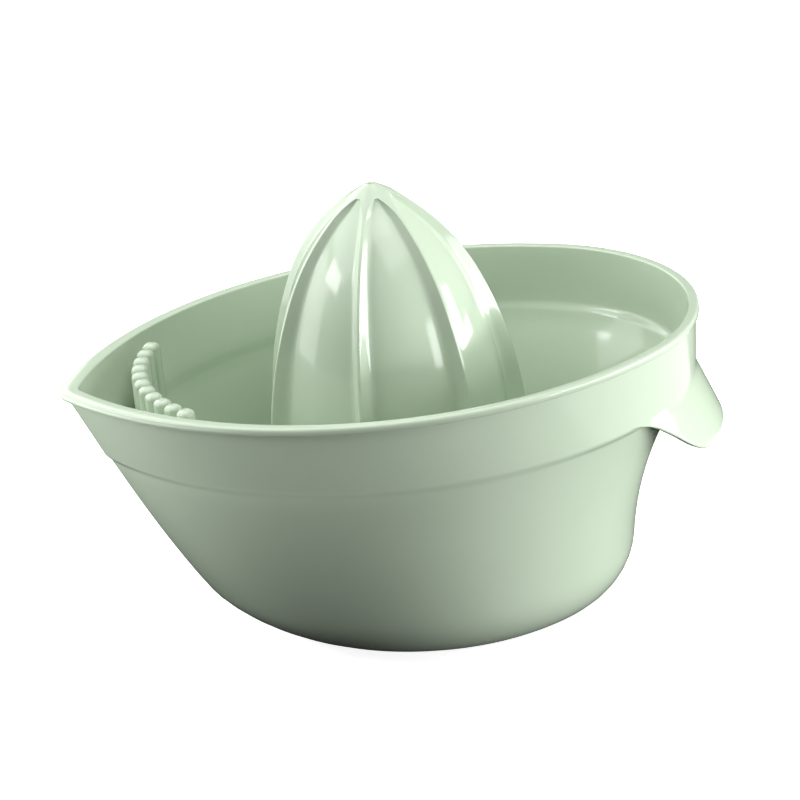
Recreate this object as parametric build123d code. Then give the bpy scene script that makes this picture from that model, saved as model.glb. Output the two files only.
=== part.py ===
"""Hand citrus juicer: teardrop bowl with a spout, lift-off reamer, lift-out strainer comb and foot ring.

Millimetres, +Z up. The origin lies on the table under the axis of the cone. The spout points to -X and
the thumb flap to +X.
"""
from build123d import *
from math import asin, atan2, cos, degrees, radians, sin, sqrt, tan
import os

# Bowl, outside
bowl_height = 83.0            # table to the top of the rim
rim_back = 88.6               # cone axis to the handle end of the rim
rim_tip = 92.4                # cone axis to the point of the spout
rim_half_width = 63.2         # middle plane to the side of the rim
rim_end_radius = 54.6         # round handle end, seen from above
rim_tip_radius = 6.0
base_back = 64.9              # the same sizes where the walls would meet the table
base_tip = 43.0
base_half_width = 47.7
base_end_radius = 46.3
base_tip_radius = 14.0
base_round = 16.0             # rounding between wall and floor
end_curve_power = 2.4         # the wall at the handle end leans out more towards the band
keel_curve_power = 0.75       # and the spout's keel leans out more towards the table
base_lift = 0.8               # the bowl's underside stands this far above the table

# Upper band, rim bead and wall
band_height = 20.0
band_step = 0.75              # the band stands proud of the lower wall by this much at the sides
band_end_step = 4.4           # and by this much at the handle end, behind the flap
band_taper = 1.0              # the band draws in by this much from top to bottom
band_chamfer = 3.0            # height of the sloping edge under the band
bead_height = 2.4
bead_overhang = 0.9
bead_round = 0.8
wall = 2.0
floor_thickness = 4.0
inner_round = 14.0
inner_tip_radius = 5.0
spout_pad = 5.5               # width of the flat rim at the point of the spout
ledge_height = 3.5            # height of the inner slope above the band's lower edge

# Thumb flap
flap_drop = 16.1              # flap's lower edge below the band
flap_flare = 7.7              # how far the flap leans out over its drop
flap_thickness = 2.0
flap_lap = 2.3                # the flap grows out of the band this far above the band's lower edge
flap_root_half_width = 46.0
flap_end_half_width = 37.5
flap_corner_radius = 9.0

# Reamer cone
reamer_radius = 37.6          # crest of the ribs at the foot
reamer_height = 119.9         # seat to tip
reamer_skirt = 44.6           # upright lower part
reamer_tip_radius = 1.3
bend_radius_share = 0.728     # the crest bends over more tightly above this share of its radius
bend_height_share = 0.631     # and of the height above the skirt
reamer_wall = 2.4
rib_count = 7
rib_first_angle = 90.0
rib_height = 5.0              # at the foot
crest_width = 0.7             # narrow land along each rib
flank_lean = 27.0             # degrees between a rib's flank and the radius
groove_round = 1.6            # rounding between flank and flute, at the foot
flute_end = 2.6               # the flutes end this far below the tip
flute_end_depth = 2.4         # depth of a flute just below its end
flute_end_round = 5.0         # height of a flute's scooped end
flute_end_width_share = 0.45   # width that is left at the very end

# Round pad and keyed ring on the floor that hold the cone
seat_pad_height = 3.0
seat_pad_margin = 0.6         # the pad is wider than the cone by this much all round
seat_clearance = 0.15
seat_ring_height = 9.0
seat_ring_wall = 2.2
key_width = 4.0
key_height = 6.5
key_reach = 1.6

# Strainer comb
comb_place_share = 0.746      # place of the comb on the way from the cone axis to the point of the spout
comb_radius = 50.0
reed_count = 11
reed_pitch = 5.4
reed_width = 4.3
reed_depth = 4.8
reed_corner = 1.7
reed_top_round = 1.5
comb_drop = 1.0               # top of the reeds below the rim
comb_gap = 0.8                # free gap between the comb and the bowl's wall
web_thickness = 2.8
web_height = 7.0
tongue_width = 9.0
tongue_height = 7.0
socket_depth = 5.0
socket_wall = 2.0
socket_margin = 1.5           # wall kept between the socket and the keel
socket_foot = 20.0            # how far the socket block reaches down into the keel

# Soft ring under the base
foot_radius = 26.5            # middle of the ring
foot_width = 5.0
foot_groove = 1.6
foot_clearance = 0.1

# Making
overrun = 1.0                 # extra length of cuts
round_steps = 6               # strips in a large rounding
wall_steps = 4                # strips in the lower wall
crest_steps = 12              # points on the cone's arc
flute_steps = 8               # sections on a flute's arc
half = 0.5

floor_z = base_lift + floor_thickness
band_z = bowl_height - band_height
seat_z = floor_z + seat_pad_height
reamer_tip_z = seat_z + reamer_height
arc_z = seat_z + reamer_skirt


class Plan:
    """Teardrop seen from above: a round end, two long sides and a rounded point, all tangent arcs."""

    def __init__(self, back, tip, half_width, end_radius, tip_radius):
        self.sizes = (back, tip, half_width, end_radius, tip_radius)
        self.end_x = back - end_radius
        self.end_radius = end_radius
        self.tip_radius = tip_radius
        span = tip + self.end_x
        lean = end_radius / span
        reach = (end_radius * (half_width * 2 - end_radius) / span + span) / 2
        rest = half_width - reach * lean
        excess = max(rest**2 - lean**2 * (reach**2 - half_width**2), 0)
        self.side_drop = (rest - sqrt(excess)) / lean**2
        self.side_x = reach + lean * self.side_drop - tip
        self.side_radius = half_width + self.side_drop

    def inset(self, distance, tip_radius):
        """The same outline drawn in all round, with a point of its own radius."""
        other = Plan(*self.sizes)
        other.end_radius = self.end_radius - distance
        other.side_radius = self.side_radius - distance
        other.tip_radius = tip_radius
        return other

    def point_x(self):
        return self.tip_x() - self.tip_radius

    def tip_x(self):
        return self.side_x - sqrt((self.side_radius - self.tip_radius)**2 - self.side_drop**2)

    def half_width_at(self, x):
        """Half the outline's width at a place on its long sides."""
        return sqrt(self.side_radius**2 - (x - self.side_x)**2) - self.side_drop

    def face(self, z):
        """The outline as a face at height z, from the handle end round to it again."""
        end_angle = atan2(self.side_drop, self.end_x - self.side_x)
        tip_angle = atan2(self.side_drop, self.tip_x() - self.side_x)

        def on_end(angle):
            return Vector(self.end_x + self.end_radius * cos(angle), self.end_radius * sin(angle), z)

        def on_side(angle):
            y = self.side_radius * sin(angle) - self.side_drop
            return Vector(self.side_x + self.side_radius * cos(angle), y, z)

        half_line = [on_end(0), on_end(end_angle / 2), on_end(end_angle)]
        half_line += [on_side((end_angle + tip_angle) / 2), on_side(tip_angle)]
        far_side = [Vector(p.X, -p.Y, p.Z) for p in half_line]
        point = Vector(self.point_x(), 0, z)
        edges = [
            Edge.make_three_point_arc(half_line[0], half_line[1], half_line[2]),
            Edge.make_three_point_arc(half_line[2], half_line[3], half_line[4]),
            Edge.make_three_point_arc(half_line[4], point, far_side[4]),
            Edge.make_three_point_arc(far_side[4], far_side[3], far_side[2]),
            Edge.make_three_point_arc(far_side[2], far_side[1], far_side[0]),
        ]
        return Face(Wire(edges))


def keel(z):
    """Reach of the spout's keel at height z."""
    return base_tip + (rim_tip - bead_overhang - base_tip) * (z / bowl_height)**keel_curve_power


rim_plan = Plan(rim_back, rim_tip, rim_half_width, rim_end_radius, rim_tip_radius)
band_top_plan = Plan(
    rim_back - bead_overhang,
    keel(bowl_height - bead_height),
    rim_half_width - bead_overhang,
    rim_end_radius - bead_overhang,
    rim_tip_radius,
)
band_low_plan = Plan(
    rim_back - bead_overhang - band_taper,
    keel(band_z),
    rim_half_width - bead_overhang - band_taper,
    rim_end_radius - bead_overhang - band_taper,
    rim_tip_radius,
)
shoulder_plan = Plan(
    rim_back - bead_overhang - band_taper - band_end_step,
    keel(band_z - band_chamfer) - band_step,
    rim_half_width - bead_overhang - band_taper - band_step,
    rim_end_radius - bead_overhang - band_taper - band_step,
    rim_tip_radius + band_step,
)
base_plan = Plan(base_back, base_tip, base_half_width, base_end_radius, base_tip_radius)


def wall_plan(z):
    """Outside of the lower wall at height z."""
    share = z / (band_z - band_chamfer)
    sizes = [low + (high - low) * share for low, high in zip(base_plan.sizes, shoulder_plan.sizes)]
    sizes[0] = base_back + (shoulder_plan.sizes[0] - base_back) * share**end_curve_power
    sizes[1] = keel(z) - band_step * share
    return Plan(*sizes)


def rounded_start(radius, low_z, offset):
    """Faces of a large rounding that starts flat at low_z and ends in the wall."""
    faces = []
    for step in range(round_steps + 1):
        angle = radians(90 * step / round_steps)
        z = low_z + radius * (1 - cos(angle))
        plan = wall_plan(z)
        drawn_in = offset + radius * (1 - sin(angle))
        faces.append(plan.inset(drawn_in, plan.tip_radius).face(z))
    return faces


def upright_wall(low_z, high_z, offset, tip_radius):
    """Faces of the lower wall between two heights, without the first one."""
    faces = []
    for step in range(1, wall_steps + 1):
        z = low_z + (high_z - low_z) * step / wall_steps
        plan = wall_plan(z)
        share = step / wall_steps
        radius = plan.tip_radius + (tip_radius - shoulder_plan.tip_radius) * share
        faces.append(plan.inset(offset, radius).face(z))
    return faces


def bowl_outside():
    faces = rounded_start(base_round, base_lift, 0)
    faces += upright_wall(base_lift + base_round, band_z - band_chamfer, 0, shoulder_plan.tip_radius)
    faces.append(band_low_plan.face(band_z))
    faces.append(band_top_plan.face(bowl_height - bead_height))
    faces.append(rim_plan.face(bowl_height - bead_height + bead_overhang * half))
    faces.append(rim_plan.face(bowl_height - bead_round))
    for angle in (45, 90):
        drawn_in = bead_round * (1 - cos(radians(angle)))
        z = bowl_height - bead_round * (1 - sin(radians(angle)))
        faces.append(rim_plan.inset(drawn_in, rim_tip_radius).face(z))
    return loft(faces, ruled=True)


def inner_low_plan(gap):
    """Inside of the band at its lower end, drawn in by a gap all round."""
    return Plan(
        rim_back - bead_overhang - band_taper - wall - gap,
        -wall_plan(band_z + ledge_height).inset(wall + gap, inner_tip_radius).point_x(),
        rim_half_width - bead_overhang - band_taper - wall - gap,
        rim_end_radius - bead_overhang - band_taper - wall - gap,
        inner_tip_radius,
    )


def cavity(gap):
    """Space inside the bowl, drawn in by a gap all round."""
    inner_top = Plan(
        rim_back - bead_overhang - wall - gap,
        rim_tip - spout_pad - gap,
        rim_half_width - bead_overhang - wall - gap,
        rim_end_radius - bead_overhang - wall - gap,
        inner_tip_radius,
    )
    faces = rounded_start(inner_round, floor_z + gap, wall + gap)
    faces += upright_wall(floor_z + gap + inner_round, band_z, wall + gap, inner_tip_radius)
    faces.append(inner_low_plan(gap).face(band_z + ledge_height))
    faces.append(inner_top.face(bowl_height))
    faces.append(inner_top.face(bowl_height + overrun))
    return loft(faces, ruled=True)


def thumb_flap():
    """Tongue that leans out of the band at the handle end."""
    drop = flap_drop + flap_lap
    lean = Vector(flap_flare, 0, -drop)
    end_x = band_low_plan.end_x
    radius = band_low_plan.end_radius
    front = Rectangle(radius * 2, radius * 2, align=(Align.MIN, Align.CENTER))
    ring = (Circle(radius) - Circle(radius - flap_thickness)) & front
    sheet = extrude(Pos(end_x, 0, band_z + flap_lap) * ring, amount=lean.length, dir=lean.normalized())
    low_z = band_z - flap_drop
    high_z = band_z + flap_lap
    outline = Polyline(
        (flap_end_half_width, low_z),
        (flap_root_half_width, band_z),
        (flap_root_half_width, high_z),
        (-flap_root_half_width, high_z),
        (-flap_root_half_width, band_z),
        (-flap_end_half_width, low_z),
        close=True,
    )
    front_face = make_face(Plane.YZ * outline)
    prism = extrude(front_face, amount=rim_back + flap_flare + overrun)
    low_corners = prism.edges().filter_by(Axis.X).group_by(Axis.Z)[0]
    return sheet & fillet(low_corners, flap_corner_radius)


def polar_angles():
    return [rib_first_angle + 360 / rib_count * index for index in range(rib_count)]


core_radius = reamer_radius - rib_height
hollow_radius = core_radius - reamer_wall


def key_blocks(clearance):
    """Keys on the floor ring, or with a clearance the notches for them."""
    inner = hollow_radius - seat_clearance - seat_ring_wall * half
    outer = hollow_radius - seat_clearance + key_reach + clearance
    low_z = seat_z - clearance
    block = Box(
        outer - inner, key_width + clearance * 2, key_height + clearance * 2,
        align=(Align.MIN, Align.CENTER, Align.MIN),
    )
    return [Rot(0, 0, angle) * Pos(inner, 0, low_z) * block for angle in polar_angles()]


def floor_seat():
    """Pad under the cone with the ring that stands in the cone's hollow."""
    outer = hollow_radius - seat_clearance
    low_z = floor_z - floor_thickness * half
    height = seat_z + seat_ring_height - low_z
    base = (Align.CENTER, Align.CENTER, Align.MIN)
    ring = Cylinder(outer, height, align=base) - Cylinder(outer - seat_ring_wall, height, align=base)
    pad = Cylinder(reamer_radius + seat_pad_margin, seat_z - low_z, align=base)
    return Pos(0, 0, low_z) * (ring + pad)


def foot_band(clearance, low_z, high_z):
    """Flat round ring under the base, or with a clearance the groove for it."""
    outer = foot_radius + foot_width * half + clearance
    inner = foot_radius - foot_width * half - clearance
    base = (Align.CENTER, Align.CENTER, Align.MIN)
    ring = Cylinder(outer, high_z - low_z, align=base) - Cylinder(inner, high_z - low_z, align=base)
    return Pos(0, 0, low_z) * ring


comb_x = rim_tip * comb_place_share
comb_centre_x = comb_radius - comb_x
tongue_reach = comb_x + web_thickness * half + seat_clearance + wall + socket_margin
keel_share = (tongue_reach - base_tip) / (rim_tip - bead_overhang - base_tip)
socket_z = bowl_height * keel_share**(1 / keel_curve_power)


def comb_tongue(clearance):
    """Foot of the comb, or with a clearance the socket for it."""
    low_z = socket_z
    return Pos(-comb_x, 0, low_z) * Box(
        web_thickness + clearance * 2, tongue_width + clearance * 2, tongue_height,
        align=(Align.CENTER, Align.CENTER, Align.MIN),
    )


def comb_socket(outside):
    """Block in the corner of the keel that holds the comb's foot."""
    side = socket_wall + seat_clearance
    block = Pos(-comb_x, 0, socket_z - socket_foot) * Box(
        web_thickness + side * 2, tongue_width + side * 2, socket_foot + socket_depth,
        align=(Align.CENTER, Align.CENTER, Align.MIN),
    )
    return block & outside


def bowl():
    outside = bowl_outside()
    inside = cavity(0)
    body = outside - inside
    body += thumb_flap() - inside
    body += floor_seat()
    for key in key_blocks(0):
        body += key
    body += comb_socket(outside)
    body -= comb_tongue(seat_clearance)
    body -= foot_band(foot_clearance, base_lift - overrun, base_lift + foot_groove)
    return body


def foot_ring():
    return foot_band(0, 0, base_lift + foot_groove)


bend_radius = reamer_radius * bend_radius_share
bend_z = arc_z + (reamer_tip_z - arc_z) * bend_height_share
side_step = reamer_radius - bend_radius
side_arc = (side_step**2 + (bend_z - arc_z)**2) / (side_step * 2)
bend_turn = asin((bend_z - arc_z) / side_arc)
tip_step = bend_radius - reamer_tip_radius
tip_rise = reamer_tip_z - bend_z
top_arc = (tip_step**2 + tip_rise**2) / ((tip_step * cos(bend_turn) - tip_rise * sin(bend_turn)) * 2)
top_arc_x = bend_radius - top_arc * cos(bend_turn)
top_arc_z = bend_z - top_arc * sin(bend_turn)
tip_turn = asin((reamer_tip_z - top_arc_z) / top_arc)


def crest_at(z):
    """Radius of the rib crests at height z: upright, then a wide arc and a tighter one up to the tip."""
    if z <= arc_z:
        return reamer_radius
    if z <= bend_z:
        return reamer_radius - side_arc + sqrt(side_arc**2 - (z - arc_z)**2)
    return top_arc_x + sqrt(top_arc**2 - (z - top_arc_z)**2)


def arc_points(top_z, inset):
    """Points up the crest's arcs, drawn in towards the axis."""
    levels = [arc_z + (top_z - arc_z) * step / crest_steps for step in range(crest_steps + 1)]
    return [(crest_at(z) - inset, 0, z) for z in levels]


def smooth_cone():
    """Cone over the rib crests, before the flutes are cut."""
    points = arc_points(reamer_tip_z, 0)
    lines = [
        Line((0, 0, seat_z), (reamer_radius, 0, seat_z)),
        Line((reamer_radius, 0, seat_z), points[0]),
        Spline(points, tangents=((0, 0, 1), (-sin(tip_turn), 0, cos(tip_turn)))),
        Line(points[-1], (0, 0, reamer_tip_z)),
        Line((0, 0, reamer_tip_z), (0, 0, seat_z)),
    ]
    return revolve(make_face(lines), Axis.Z)


flute_end_z = reamer_tip_z - flute_end
scoop_z = flute_end_z - flute_end_round


def flute_face(z, swell):
    """Section of one flute along +X: two straight flanks and a round floor, joined by small roundings.

    A swell under 1 narrows the section and lifts it out of the cone.
    """
    rise = max(z - arc_z, 0) / (flute_end_z - arc_z)
    depth = rib_height + (flute_end_depth - rib_height) * rise
    crest = crest_at(z) + (1 - swell) * (depth + overrun * half)
    floor = crest - depth
    rounding = groove_round * crest / reamer_radius
    lean = radians(flank_lean)
    half_pitch = radians(180 / rib_count)
    narrowing = flute_end_width_share + (1 - flute_end_width_share) * swell

    # Along the rib's radius and square to it, from the cone's axis
    across = Vector(sin(lean), cos(lean))
    along = Vector(cos(lean), -sin(lean))
    offset = crest_width * half * cos(lean) + crest * sin(lean)
    reach = sqrt((floor + rounding)**2 - (offset + rounding)**2)
    centre = across * (offset + rounding) + along * reach
    flank_foot = across * offset + along * reach
    floor_start = centre.normalized() * floor
    groove = centre - (across + centre.normalized()).normalized() * rounding
    outer = Vector(crest + overrun, crest_width * half - overrun * tan(lean))

    def on_cone(point, side):
        x = point.X * cos(half_pitch) + point.Y * sin(half_pitch)
        y = point.X * sin(half_pitch) - point.Y * cos(half_pitch)
        return Vector(x, side * narrowing * y, z)

    left = [on_cone(point, 1) for point in (outer, flank_foot, groove, floor_start)]
    right = [on_cone(point, -1) for point in (outer, flank_foot, groove, floor_start)]
    edges = [
        Edge.make_line(left[0], left[1]),
        Edge.make_three_point_arc(left[1], left[2], left[3]),
        Edge.make_three_point_arc(left[3], Vector(floor, 0, z), right[3]),
        Edge.make_three_point_arc(right[3], right[2], right[1]),
        Edge.make_line(right[1], right[0]),
        Edge.make_three_point_arc(right[0], Vector(crest + overrun, 0, z), left[0]),
    ]
    return Face(Wire(edges))


def flute_cuts():
    """One flute as three cuts: along the upright skirt, up the arc and out through a scooped end."""
    skirt = loft([flute_face(seat_z - overrun, 1), flute_face(arc_z, 1)], ruled=True)
    levels = [arc_z + (scoop_z - arc_z) * step / flute_steps for step in range(flute_steps + 1)]
    arc = loft([flute_face(z, 1) for z in levels])
    scoop = []
    for step in range(round_steps + 1):
        angle = radians(90 * step / round_steps)
        scoop.append(flute_face(scoop_z + flute_end_round * sin(angle), cos(angle)))
    return skirt, arc, loft(scoop, ruled=True)


def cone_hollow():
    """Round hollow under the cone, a wall's thickness inside the flutes."""
    inset = rib_height + reamer_wall
    top_z = top_arc_z + sqrt(top_arc**2 - (inset - top_arc_x)**2)
    points = arc_points(top_z, inset)
    points[-1] = (0, 0, top_z)
    low_z = seat_z - overrun
    lines = [
        Line((0, 0, low_z), (hollow_radius, 0, low_z)),
        Line((hollow_radius, 0, low_z), points[0]),
        Spline(points),
        Line(points[-1], (0, 0, low_z)),
    ]
    return revolve(make_face(lines), Axis.Z)


def reamer():
    body = smooth_cone()
    cuts = flute_cuts()
    for angle in polar_angles():
        for cut in cuts:
            body -= Rot(0, 0, angle + 180 / rib_count) * cut
    body -= cone_hollow()
    for notch in key_blocks(seat_clearance):
        body -= notch
    return body


def reed(low_z):
    """One reed of the comb on the comb's middle, with a rounded top."""
    height = bowl_height - comb_drop - low_z
    stem = extrude(RectangleRounded(reed_depth, reed_width, reed_corner), amount=height)
    top_edges = stem.faces().sort_by(Axis.Z)[-1].edges()
    return Pos(-comb_radius, 0, low_z) * fillet(top_edges, reed_top_round)


def reed_angles():
    """Places of the reeds on the comb's arc, without those that the spout has no room for."""
    inside = inner_low_plan(comb_gap)
    pitch_angle = degrees(reed_pitch / comb_radius)
    angles = []
    for index in range(reed_count):
        angle = pitch_angle * (index - (reed_count - 1) / 2)
        x = comb_centre_x - comb_radius * cos(radians(angle))
        y = comb_radius * sin(radians(angle))
        if abs(y) <= inside.half_width_at(x):
            angles.append(angle)
    return angles


def strainer():
    web_z = socket_z + tongue_height
    angles = reed_angles()
    base = (Align.CENTER, Align.CENTER, Align.MIN)
    ring = Cylinder(comb_radius + web_thickness * half, web_height, align=base)
    ring -= Cylinder(comb_radius - web_thickness * half, web_height, align=base)
    chord = comb_radius * 2 * sin(radians(angles[-1]))
    front = Box(comb_radius * 2, chord, web_height, align=(Align.MAX, Align.CENTER, Align.MIN))
    comb = Pos(0, 0, web_z) * (ring & front)
    one_reed = reed(web_z)
    for angle in angles:
        comb += Rot(0, 0, angle) * one_reed
    comb = Pos(comb_centre_x, 0, 0) * comb
    comb += comb_tongue(0)
    return comb & (cavity(comb_gap) + comb_tongue(0))


def main():
    os.makedirs("parts", exist_ok=True)
    pieces = {"bowl": bowl(), "foot_ring": foot_ring(), "reamer": reamer(), "strainer": strainer()}
    for name, piece in pieces.items():
        piece.label = name
        export_step(piece, f"parts/{name}.step")


main()
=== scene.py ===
from math import acos, asin, atan2, cos, hypot, pi, radians, sin, sqrt

import bmesh
import bpy
from mathutils import Matrix, Vector


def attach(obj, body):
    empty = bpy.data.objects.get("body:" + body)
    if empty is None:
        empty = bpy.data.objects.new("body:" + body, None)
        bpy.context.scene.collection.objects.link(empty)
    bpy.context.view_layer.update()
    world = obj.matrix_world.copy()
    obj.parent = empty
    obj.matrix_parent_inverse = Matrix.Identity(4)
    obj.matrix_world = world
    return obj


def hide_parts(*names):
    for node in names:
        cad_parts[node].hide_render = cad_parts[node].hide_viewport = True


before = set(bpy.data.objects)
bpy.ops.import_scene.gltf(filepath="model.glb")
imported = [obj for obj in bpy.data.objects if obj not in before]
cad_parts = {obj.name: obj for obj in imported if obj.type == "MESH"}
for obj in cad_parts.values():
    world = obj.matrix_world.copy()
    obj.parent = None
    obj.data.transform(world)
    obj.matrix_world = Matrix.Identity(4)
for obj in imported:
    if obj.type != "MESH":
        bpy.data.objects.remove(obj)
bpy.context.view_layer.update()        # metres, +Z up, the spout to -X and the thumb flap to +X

scene = bpy.context.scene
mm = 0.001        # shapes are drawn in millimetres and scaled once, when they become pieces
weld = 0.002      # corners nearer than this, in millimetres, become one
digits = 4        # decimals of a millimetre that count when corners are put in order
print("frame loaded:", ", ".join(sorted(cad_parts)))


# Small helpers for shapes

def ease(share):        # soft start and soft end
    share = min(max(share, 0), 1)
    return share * share * (3 - 2 * share)


def softMin(a, b, reach):        # the smaller one, with a rounded change-over
    return min(a, b) - max(reach - abs(a - b), 0) ** 2 / (4 * reach)


def softMax(a, b, reach):
    return -softMin(-a, -b, reach)


def steps(count):        # shares from just after 0 up to 1
    return [(i + 1) / count for i in range(count)]


def mixRings(first, second, share, rise=None):        # rise is the share of the way up, if it differs
    ring = [a.lerp(b, share) for a, b in zip(first, second)]
    if rise is not None:
        for point, a, b in zip(ring, first, second):
            point.z = a.z + (b.z - a.z) * rise
    return ring


def moveOnto(loop, ring):
    for vert, point in zip(loop, ring):
        vert.co = point


def vertsOf(geom):
    return [item for item in geom if isinstance(item, bmesh.types.BMVert)]


def edgesOf(verts):        # each edge once, always in the same order
    return list(dict.fromkeys(e for v in verts for e in v.link_edges))


def growRows(bm, loop, rings, closed):        # extrudes the loop along the rings and returns every loop
    loops = [loop]
    moveOnto(loop, rings[0])
    for ring in rings[1:]:
        ends = loop[1:] + loop[:1] if closed else loop[1:]
        edges = [bm.edges.get((a, b)) for a, b in zip(loop, ends)]
        grown = bmesh.ops.extrude_edge_only(bm, edges=edges)["geom"]
        fresh = set(vertsOf(grown))
        loop = [next(v for v in (e.other_vert(old) for e in old.link_edges) if v in fresh) for old in loop]
        moveOnto(loop, ring)
        loops.append(loop)
    return loops


def growShell(rings):        # a circle pulled onto the first ring and extruded through the others
    bm = bmesh.new()
    loop = bmesh.ops.create_circle(bm, segments=len(rings[0]), radius=1)["verts"]
    loop.sort(key=lambda v: atan2(v.co.y, v.co.x) % (2 * pi))
    loops = growRows(bm, loop, rings, True)
    for end in (loops[0], loops[-1]):
        bmesh.ops.contextual_create(bm, geom=end)
    return bm, loops


def lathe(bm, profile, columns, closed):        # pairs of radius and height, turned once round the Z axis
    chain = [bm.verts.new((r, 0, z)) for r, z in profile]
    ends = chain[1:] + chain[:1] if closed else chain[1:]
    edges = [bm.edges.new(pair) for pair in zip(chain, ends)]
    bmesh.ops.spin(bm, geom=chain + edges, cent=(0, 0, 0), axis=(0, 0, 1), dvec=(0, 0, 0), angle=2 * pi,
                   steps=columns, use_merge=True, use_duplicate=False)


def turnAround(bm, verts, angle):        # about the Z axis
    bmesh.ops.rotate(bm, verts=verts, cent=(0, 0, 0), matrix=Matrix.Rotation(angle, 3, "Z"))


def pullFaces(bm, faces, move):        # extrudes the faces along a vector and leaves none behind
    pulled = bmesh.ops.extrude_face_region(bm, geom=faces)["geom"]
    bmesh.ops.translate(bm, verts=vertsOf(pulled), vec=move)
    bmesh.ops.delete(bm, geom=faces, context="FACES")


def fixOrder(bm):        # the operators leave an order that changes from run to run
    for items, key in (
        (bm.verts, lambda vert: [round(c, digits) for c in vert.co]),
        (bm.edges, lambda edge: sorted(v.index for v in edge.verts)),
        (bm.faces, lambda face: sorted(v.index for v in face.verts)),
    ):
        ranks = {item: rank for rank, item in enumerate(sorted(items, key=key))}
        items.sort(key=ranks.get)
        items.index_update()


def makePiece(bm, name, sharp):        # welds, turns the faces outwards, fixes their order, scales to metres
    bmesh.ops.remove_doubles(bm, verts=bm.verts, dist=weld)
    bmesh.ops.dissolve_degenerate(bm, edges=bm.edges, dist=weld)
    bmesh.ops.recalc_face_normals(bm, faces=bm.faces)
    fixOrder(bm)
    bmesh.ops.scale(bm, vec=(mm, mm, mm), verts=bm.verts)
    mesh = bpy.data.meshes.new(name)
    bm.to_mesh(mesh)
    bm.free()
    piece = bpy.data.objects.new(name, mesh)
    scene.collection.objects.link(piece)
    smoothFaces(piece, sharp)
    return piece


def smoothFaces(piece, sharp):        # smooth, but creased where faces turn by more than sharp degrees
    piece.data.shade_smooth()
    piece.data.set_sharp_from_angle(angle=radians(sharp))


def carve(piece, tool, operation, sharp):        # joins or cuts with a tool shape, which is then thrown away
    cut = piece.modifiers.new("carve", "BOOLEAN")
    cut.object = tool
    cut.operation = operation
    cut.solver = "EXACT"
    cut.use_self = True
    bpy.context.view_layer.update()
    graph = bpy.context.evaluated_depsgraph_get()
    mesh = bpy.data.meshes.new_from_object(piece.evaluated_get(graph))
    piece.modifiers.clear()
    plain = piece.data
    piece.data = mesh
    mesh.name = piece.name
    bpy.data.meshes.remove(plain)
    bpy.data.objects.remove(tool)
    smoothFaces(piece, sharp)


def setDown(piece, node, body):        # stands for the CAD node and rides on its body
    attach(piece, body)
    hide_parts(node)
    faces = sum(len(face.vertices) - 2 for face in piece.data.polygons)
    print(f"{piece.name}: {faces} triangles on body {body}")


# Bowl: one moulding with the spout, the band, the rim bead, the flap and the keyed floor ring

columns = {"end": 60, "side": 64, "tip": 9}        # corners of a ring on half of the outline
columnCount = 2 * sum(columns.values())

bowl = {
    "height": 83.0,
    "rim": {"back": 88.6, "tip": 92.4, "halfWidth": 63.2, "endRadius": 54.6, "tipRadius": 6.0},
    "base": {"back": 64.9, "tip": 43.0, "halfWidth": 47.7, "endRadius": 46.3, "tipRadius": 14.0},
    "lift": 0.8,
    "baseRound": 16.0,
    "endCurve": 2.4,
    "keelCurve": 0.75,
    "bandHeight": 20.0,
    "bandStep": 0.75,
    "bandEndStep": 4.4,
    "bandTaper": 1.0,
    "chamfer": 3.0,
    "beadHeight": 2.4,
    "beadOverhang": 0.9,
    "beadRound": 0.8,
    "lipRound": 0.5,
    "wall": 2.0,
    "floor": 4.0,
    "innerRound": 14.0,
    "innerTipRadius": 5.0,
    "spoutPad": 5.5,
    "ledge": 3.5,
    "wallRows": 12,
    "roundRows": 10,
    "chamferRows": 5,
    "bandRows": 5,
    "ledgeRows": 5,
    "beadRows": 4,
    "sharp": 38,
}
flap = {
    "drop": 16.1,
    "flare": 7.7,
    "thickness": 2.0,
    "lap": 2.3,
    "rootHalfWidth": 46.0,
    "endHalfWidth": 37.5,
    "cornerReach": 7.0,
    "rootReach": 5.0,
    "bend": 1.6,
    "edgeRound": 0.7,
    "backTop": 0.22,        # where the back leaves the band, as a share of the thickness
    "rows": 12,
    "edgeRows": 3,
}
floorRing = {
    "padHeight": 3.0,
    "padRadius": 38.2,
    "padMargin": (0.5, 0.01),        # upwards and inwards, for what counts as covered by the pad
    "radius": 30.05,
    "wall": 2.2,
    "height": 9.0,
    "edge": 0.5,
    "keyHeight": 6.5,
    "keyReach": 1.6,
    "keyHalf": 2,        # columns on each side of a key's middle one
}
footGroove = {"inner": 23.9, "outer": 29.1, "depth": 1.6, "edge": 0.2}
ribCount = 7
ribTurn = 2 * pi / ribCount
ribFirst = pi / 2

floorZ = bowl["lift"] + bowl["floor"]
seatZ = floorZ + floorRing["padHeight"]        # the cone stands on a round pad
bandZ = bowl["height"] - bowl["bandHeight"]
shoulderZ = bandZ - bowl["chamfer"]


def arcPoint(x, y, radius, angle):
    return x + radius * cos(angle), y + radius * sin(angle)


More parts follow.
